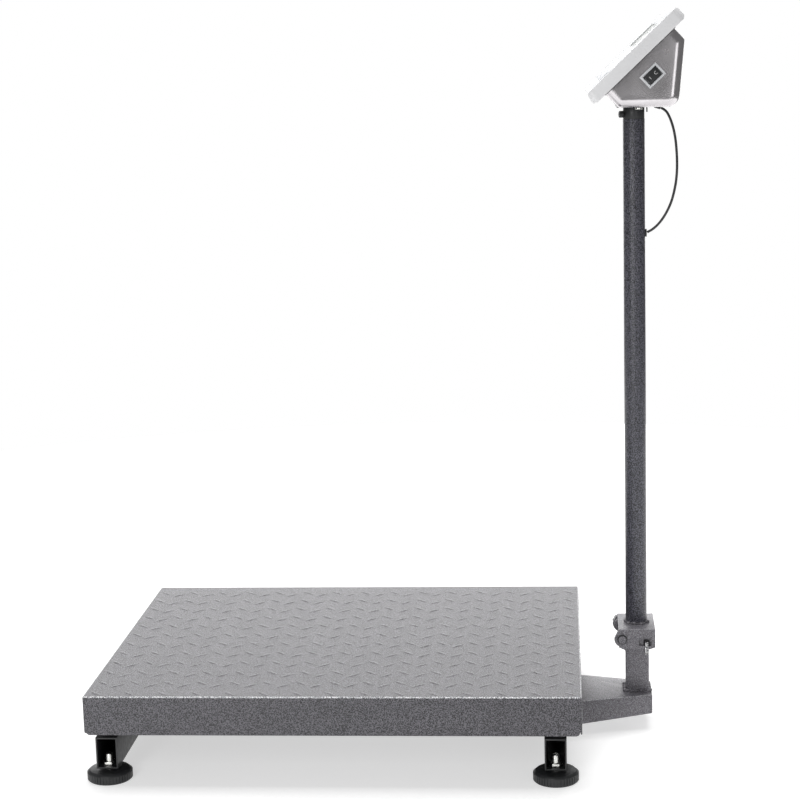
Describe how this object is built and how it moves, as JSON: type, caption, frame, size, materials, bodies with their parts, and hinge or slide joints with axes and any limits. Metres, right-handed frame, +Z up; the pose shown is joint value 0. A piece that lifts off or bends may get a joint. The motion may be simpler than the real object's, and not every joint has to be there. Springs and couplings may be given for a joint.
{
  "type": "platform_scale",
  "caption": "Folding-column platform scale: tread deck on a load cell over a steel base, levelling feet, hinged column and swivelling tilted weight indicator.",
  "frame": {"origin": "on the floor, at the middle of the overall length and on the mid-plane through the column", "axes": "+X runs from the platform towards the column, +Y across the platform, away from the side with the rocker switch, and +Z up"},
  "size_m": [0.6102, 0.4, 0.757],
  "materials": {
    "deck_coat": "hammertone dark grey powder coat, embossed tread",
    "frame_paint": "satin black paint",
    "column_coat": "speckled dark grey powder coat",
    "stainless": "satin stainless sheet",
    "zinc": "bright zinc plate",
    "cell_alloy": "machined and anodised",
    "white_abs": "white moulded plastic",
    "grey_abs": "light grey moulded plastic",
    "black_plastic": "black moulded plastic",
    "black_rubber": "black rubber",
    "overlay_film": "printed film, fine texture",
    "window_glass": "tinted clear window",
    "display_dark": "unlit liquid crystal display",
    "board_green": "green circuit board",
    "battery_case": "shrink-wrapped battery",
    "cable_jacket": "smooth black jacket"
  },
  "bodies": {
    "root": {"left_rail": "frame_paint", "right_rail": "frame_paint", "cross_beam": "frame_paint", "column_arm": "column_coat", "column_post": "column_coat", "post_weld": "column_coat", "hinge_block": "column_coat", "foot_nuts": "zinc", "load_cell": "cell_alloy", "cell_base_spacer": "zinc", "cell_base_bolts": "zinc", "overload_stops": "zinc", "arm_cable": "cable_jacket"},
    "deck": {"deck_cover": "deck_coat", "deck_spine": "frame_paint", "deck_crossbars": "frame_paint", "deck_pads": "black_rubber", "cell_top_spacer": "zinc", "cell_top_bolts": "zinc"},
    "mast": {"mast_tube": "column_coat", "mast_bush": "black_plastic", "hinge_cap": "column_coat", "mast_weld": "column_coat", "cable_grommet": "black_rubber", "mast_cable": "cable_jacket", "hinge_cable": "cable_jacket", "hinge_bolt": "zinc", "hinge_washers": "zinc", "signal_cable": "cable_jacket"},
    "knob": {"hinge_knob": "black_plastic"},
    "latch": {"latch_lever": "zinc"},
    "indicator": {"indicator_housing": "stainless", "indicator_bezel": "white_abs", "bezel_gasket": "black_rubber", "front_overlay": "overlay_film", "display_window": "window_glass", "display_module": "display_dark", "main_board": "board_green", "battery": "battery_case", "mount_plate": "frame_paint", "indicator_screws": "zinc", "switch_body": "grey_abs", "cable_gland": "black_plastic", "charger_socket": "black_plastic"},
    "rocker": {"switch_rocker": "black_plastic"},
    "thumb": {"thumb_screw": "black_plastic"},
    "key_1": {"key_1": "grey_abs"},
    "key_2": {"key_2": "grey_abs"},
    "key_3": {"key_3": "grey_abs"},
    "key_4": {"key_4": "grey_abs"},
    "key_5": {"key_5": "grey_abs"},
    "key_6": {"key_6": "grey_abs"},
    "foot_1": {"foot_stud_1": "zinc"},
    "foot_pad_1": {"foot_disc_1": "black_plastic"},
    "foot_2": {"foot_stud_2": "zinc"},
    "foot_pad_2": {"foot_disc_2": "black_plastic"},
    "foot_3": {"foot_stud_3": "zinc"},
    "foot_pad_3": {"foot_disc_3": "black_plastic"},
    "foot_4": {"foot_stud_4": "zinc"},
    "foot_pad_4": {"foot_disc_4": "black_plastic"}
  },
  "joints": [
    {"name": "mast_fold", "type": "hinge", "parent": "root", "child": "mast", "pos_m": [0.24314, 0, 0.101], "axis": [0, -1, 0], "range_deg": [0, 90], "deforming": ["hinge_cable"]},
    {"name": "hinge_knob_turn", "type": "hinge", "parent": "mast", "child": "knob", "pos_m": [0.24314, 0.03, 0.101], "axis": [0, 1, 0], "range_deg": [0, 360]},
    {"name": "latch_pull", "type": "slide", "parent": "mast", "child": "latch", "axis": [0, -1, 0], "range_m": [0, 0.004], "stiffness_N_per_m": 300},
    {"name": "indicator_swivel", "type": "hinge", "parent": "mast", "child": "indicator", "pos_m": [0.25894, 0, 0.6608], "axis": [0, 0, 1], "range_deg": [-90, 90], "deforming": ["signal_cable"]},
    {"name": "thumb_screw_turn", "type": "hinge", "parent": "mast", "child": "thumb", "pos_m": [0.25894, 0, 0.653], "axis": [-0.9397, -0.342, 0], "range_deg": [0, 360]},
    {"name": "switch_rock", "type": "hinge", "parent": "indicator", "child": "rocker", "pos_m": [0.27378, -0.1015, 0.69334], "axis": [0.682, 0, -0.7314], "range_deg": [0, 16]},
    {"name": "deck_sink", "type": "slide", "parent": "root", "child": "deck", "axis": [0, 0, -1], "range_m": [0, 0.0007], "stiffness_N_per_m": 400000, "deforming": ["load_cell"]},
    {"name": "key_press_1", "type": "slide", "parent": "indicator", "child": "key_1", "axis": [0.682, 0, -0.7314], "range_m": [0, 0.0005], "stiffness_N_per_m": 800},
    {"name": "key_press_2", "type": "slide", "parent": "indicator", "child": "key_2", "axis": [0.682, 0, -0.7314], "range_m": [0, 0.0005], "stiffness_N_per_m": 800},
    {"name": "key_press_3", "type": "slide", "parent": "indicator", "child": "key_3", "axis": [0.682, 0, -0.7314], "range_m": [0, 0.0005], "stiffness_N_per_m": 800},
    {"name": "key_press_4", "type": "slide", "parent": "indicator", "child": "key_4", "axis": [0.682, 0, -0.7314], "range_m": [0, 0.0005], "stiffness_N_per_m": 800},
    {"name": "key_press_5", "type": "slide", "parent": "indicator", "child": "key_5", "axis": [0.682, 0, -0.7314], "range_m": [0, 0.0005], "stiffness_N_per_m": 800},
    {"name": "key_press_6", "type": "slide", "parent": "indicator", "child": "key_6", "axis": [0.682, 0, -0.7314], "range_m": [0, 0.0005], "stiffness_N_per_m": 800},
    {"name": "foot_screw_1", "type": "slide", "parent": "root", "child": "foot_1", "axis": [0, 0, -1], "range_m": [0, 0.008]},
    {"name": "foot_turn_1", "type": "hinge", "parent": "foot_1", "child": "foot_pad_1", "pos_m": [-0.28206, -0.175, 0.0055], "axis": [0, 0, 1], "range_deg": [0, 2304]},
    {"name": "foot_screw_2", "type": "slide", "parent": "root", "child": "foot_2", "axis": [0, 0, -1], "range_m": [0, 0.008]},
    {"name": "foot_turn_2", "type": "hinge", "parent": "foot_2", "child": "foot_pad_2", "pos_m": [0.17194, -0.175, 0.0055], "axis": [0, 0, 1], "range_deg": [0, 2304]},
    {"name": "foot_screw_3", "type": "slide", "parent": "root", "child": "foot_3", "axis": [0, 0, -1], "range_m": [0, 0.008]},
    {"name": "foot_turn_3", "type": "hinge", "parent": "foot_3", "child": "foot_pad_3", "pos_m": [-0.28206, 0.175, 0.0055], "axis": [0, 0, 1], "range_deg": [0, 2304]},
    {"name": "foot_screw_4", "type": "slide", "parent": "root", "child": "foot_4", "axis": [0, 0, -1], "range_m": [0, 0.008]},
    {"name": "foot_turn_4", "type": "hinge", "parent": "foot_4", "child": "foot_pad_4", "pos_m": [0.17194, 0.175, 0.0055], "axis": [0, 0, 1], "range_deg": [0, 2304]}
  ],
  "couplings": [
    {"joint": "foot_turn_1", "follows": "foot_screw_1", "rad_per_m": 5026.5},
    {"joint": "foot_turn_2", "follows": "foot_screw_2", "rad_per_m": 5026.5},
    {"joint": "foot_turn_3", "follows": "foot_screw_3", "rad_per_m": 5026.5},
    {"joint": "foot_turn_4", "follows": "foot_screw_4", "rad_per_m": 5026.5}
  ]
}
